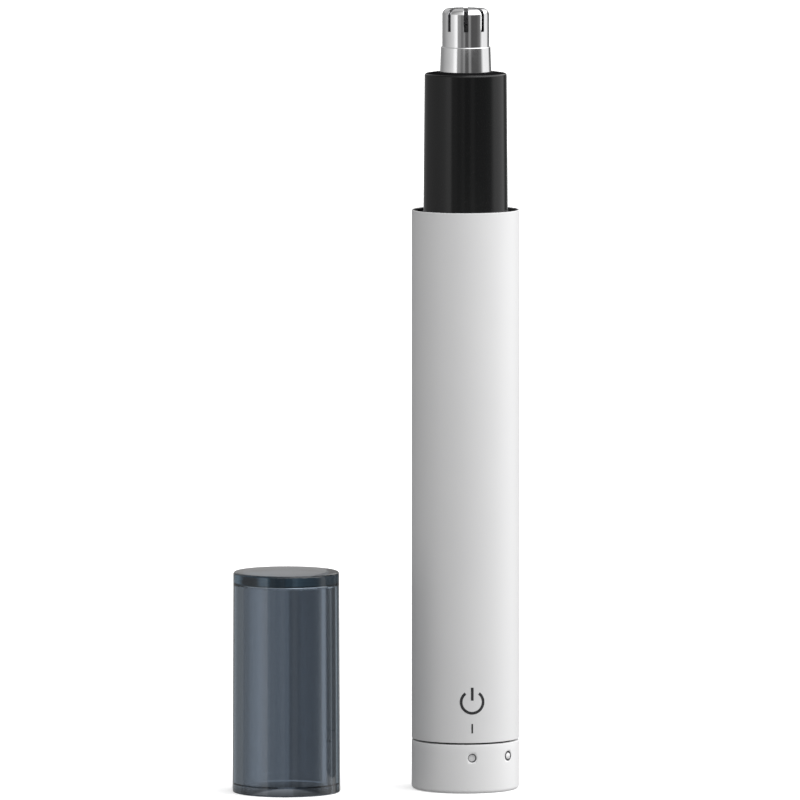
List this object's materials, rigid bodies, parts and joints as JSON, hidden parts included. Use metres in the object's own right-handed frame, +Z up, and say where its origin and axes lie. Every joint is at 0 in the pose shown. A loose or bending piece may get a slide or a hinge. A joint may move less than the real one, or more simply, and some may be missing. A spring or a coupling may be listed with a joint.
{
  "type": "nose hair trimmer",
  "caption": "Upright battery nose hair trimmer with a straight round case, black neck, slotted rotary cutting head, twist base and a clear cap stood beside it.",
  "frame": {"origin": "centre of the base's flat underside, on the trimmer's axis", "axes": "+Z up along the trimmer's axis to its cutting head, -Y the side with the index and the marks, -X towards the cap stood beside it"},
  "size_m": [0.0537, 0.0215, 0.1451],
  "materials": {
    "white_case": "satin white lacquer",
    "black_gloss": "gloss black",
    "smoke_clear": "clear smoke-tinted styrene",
    "polished_steel": "polished",
    "blade_steel": "ground",
    "white_nylon": "moulded",
    "black_nylon": "moulded",
    "zinc_steel": "zinc plated",
    "brass": "stamped",
    "copper": "enamelled wire",
    "ferrite": "sintered",
    "cell_jacket": "plain printed jacket",
    "black_rubber": "moulded",
    "red_lead": "insulated wire",
    "ceramic_disc": "dipped ceramic"
  },
  "bodies": {
    "handle": {"barrel": "white_case", "collar": "black_gloss", "shaft_seal": "black_rubber", "motor_cradle": "white_nylon", "battery_sleeve": "white_nylon", "lock_ring": "black_nylon", "aa_cell": "cell_jacket", "positive_contact": "brass", "contact_strip": "brass", "motor_can": "zinc_steel", "motor_magnet": "ferrite", "motor_end_bell": "black_nylon", "front_bush": "brass", "rear_bush": "brass", "brush_positive": "copper", "brush_negative": "copper", "terminal_positive": "brass", "terminal_negative": "brass", "noise_capacitor": "ceramic_disc", "red_lead": "red_lead", "black_lead": "black_rubber", "motor_screw_1": "zinc_steel", "motor_screw_2": "zinc_steel"},
    "drive": {"motor_shaft": "zinc_steel", "rotor_core": "zinc_steel", "rotor_winding_1": "copper", "rotor_winding_2": "copper", "rotor_winding_3": "copper", "commutator": "brass", "drive_coupler": "white_nylon"},
    "cutter_head": {"head_skirt": "polished_steel", "outer_blade": "polished_steel", "head_insert": "black_nylon", "head_seal": "black_rubber", "blade_spring": "zinc_steel"},
    "blade": {"inner_blade": "blade_steel", "blade_carrier": "black_nylon", "retaining_clip": "zinc_steel"},
    "base": {"base_shell": "white_case", "base_plug": "black_nylon", "negative_contact": "brass", "contact_spring": "zinc_steel", "base_screw": "zinc_steel", "base_seal": "black_rubber"},
    "cap": {"cap_shell": "smoke_clear"}
  },
  "joints": [
    {"name": "base_twist", "type": "hinge", "parent": "handle", "child": "base", "pos_m": [0, 0, 0], "axis": [0, 0, 1], "range_deg": [-90, 0]},
    {"name": "motor_spin", "type": "hinge", "parent": "handle", "child": "drive", "pos_m": [0, 0, 0.09], "axis": [0, 0, 1], "continuous": true},
    {"name": "head_pull", "type": "slide", "parent": "handle", "child": "cutter_head", "axis": [0, 0, 1], "range_m": [0, 0.016]},
    {"name": "blade_spin", "type": "hinge", "parent": "cutter_head", "child": "blade", "pos_m": [0, 0, 0.14], "axis": [0, 0, 1], "continuous": true},
    {"name": "cap_lift", "type": "slide", "parent": "handle", "child": "cap", "axis": [0, 0, 1], "range_m": [0, 0.15]}
  ],
  "couplings": [
    {"joint": "blade_spin", "follows": "motor_spin", "ratio": 1}
  ]
}
